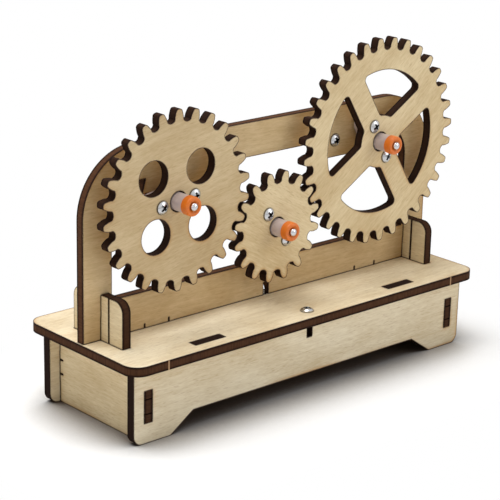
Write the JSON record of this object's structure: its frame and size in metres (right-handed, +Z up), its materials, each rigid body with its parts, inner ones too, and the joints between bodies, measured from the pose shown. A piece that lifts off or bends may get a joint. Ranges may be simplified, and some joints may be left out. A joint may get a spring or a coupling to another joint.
{
  "type": "wooden crank gear toy",
  "caption": "Plywood gear train toy: meshing wooden gears on an open upright frame over a hollow tabbed base, turned by a hand crank at the back.",
  "frame": {"origin": "middle of the footprint box of the whole toy, on the plane its feet rest on; the plate's middle lies 1.7 mm to -X and 1.6 mm to -Y of it", "axes": "+X along the length, from the left gear to the drive gear; +Y from the gears to the crank; +Z up"},
  "size_m": [0.1492, 0.0562, 0.1056],
  "materials": {
    "birch_ply": "matte laser-cut plywood",
    "gear_ply": "matte laser-cut plywood",
    "knob_wood": "turned and sanded",
    "hub_plastic": "moulded",
    "cap_plastic": "moulded",
    "bush_plastic": "moulded",
    "screw_steel": "zinc plated",
    "axle_steel": "drawn bar"
  },
  "bodies": {
    "stand": {"top_plate": "birch_ply", "front_apron": "birch_ply", "back_apron": "birch_ply", "left_side_panel": "birch_ply", "right_side_panel": "birch_ply", "upright_frame": "birch_ply", "rear_bearing_plate": "birch_ply", "left_bush": "bush_plastic", "idler_bush": "bush_plastic", "drive_bush": "bush_plastic", "drive_rear_bush": "bush_plastic", "base_screws": "screw_steel", "bearing_plate_screws": "screw_steel"},
    "drive_train": {"drive_gear": "gear_ply", "drive_hub": "hub_plastic", "drive_hub_screws": "screw_steel", "drive_front_cap": "cap_plastic", "drive_axle": "axle_steel", "crank_arm": "birch_ply", "crank_hub": "hub_plastic", "crank_hub_screws": "screw_steel", "crank_cap": "cap_plastic", "knob_pin": "axle_steel", "knob_cap": "cap_plastic"},
    "idler": {"idler_gear": "gear_ply", "idler_hub": "hub_plastic", "idler_hub_screws": "screw_steel", "idler_front_cap": "cap_plastic", "idler_axle": "axle_steel", "idler_rear_cap": "cap_plastic"},
    "left_wheel": {"left_gear": "gear_ply", "left_hub": "hub_plastic", "left_hub_screws": "screw_steel", "left_front_cap": "cap_plastic", "left_axle": "axle_steel", "left_rear_cap": "cap_plastic"},
    "knob": {"crank_knob": "knob_wood"}
  },
  "joints": [
    {"name": "drive_spin", "type": "hinge", "parent": "stand", "child": "drive_train", "pos_m": [0.0406, -0.0086, 0.0716], "axis": [0, 1, 0], "continuous": true},
    {"name": "idler_spin", "type": "hinge", "parent": "stand", "child": "idler", "pos_m": [-0.00388, -0.0086, 0.05104], "axis": [0, 1, 0], "continuous": true},
    {"name": "left_spin", "type": "hinge", "parent": "stand", "child": "left_wheel", "pos_m": [-0.044, -0.0086, 0.0665], "axis": [0, 1, 0], "continuous": true},
    {"name": "knob_spin", "type": "hinge", "parent": "drive_train", "child": "knob", "pos_m": [0.05751, 0.0172, 0.06544], "axis": [0, 1, 0], "continuous": true}
  ],
  "couplings": [
    {"joint": "idler_spin", "follows": "drive_spin", "ratio": -2},
    {"joint": "left_spin", "follows": "drive_spin", "ratio": 1.2308}
  ]
}
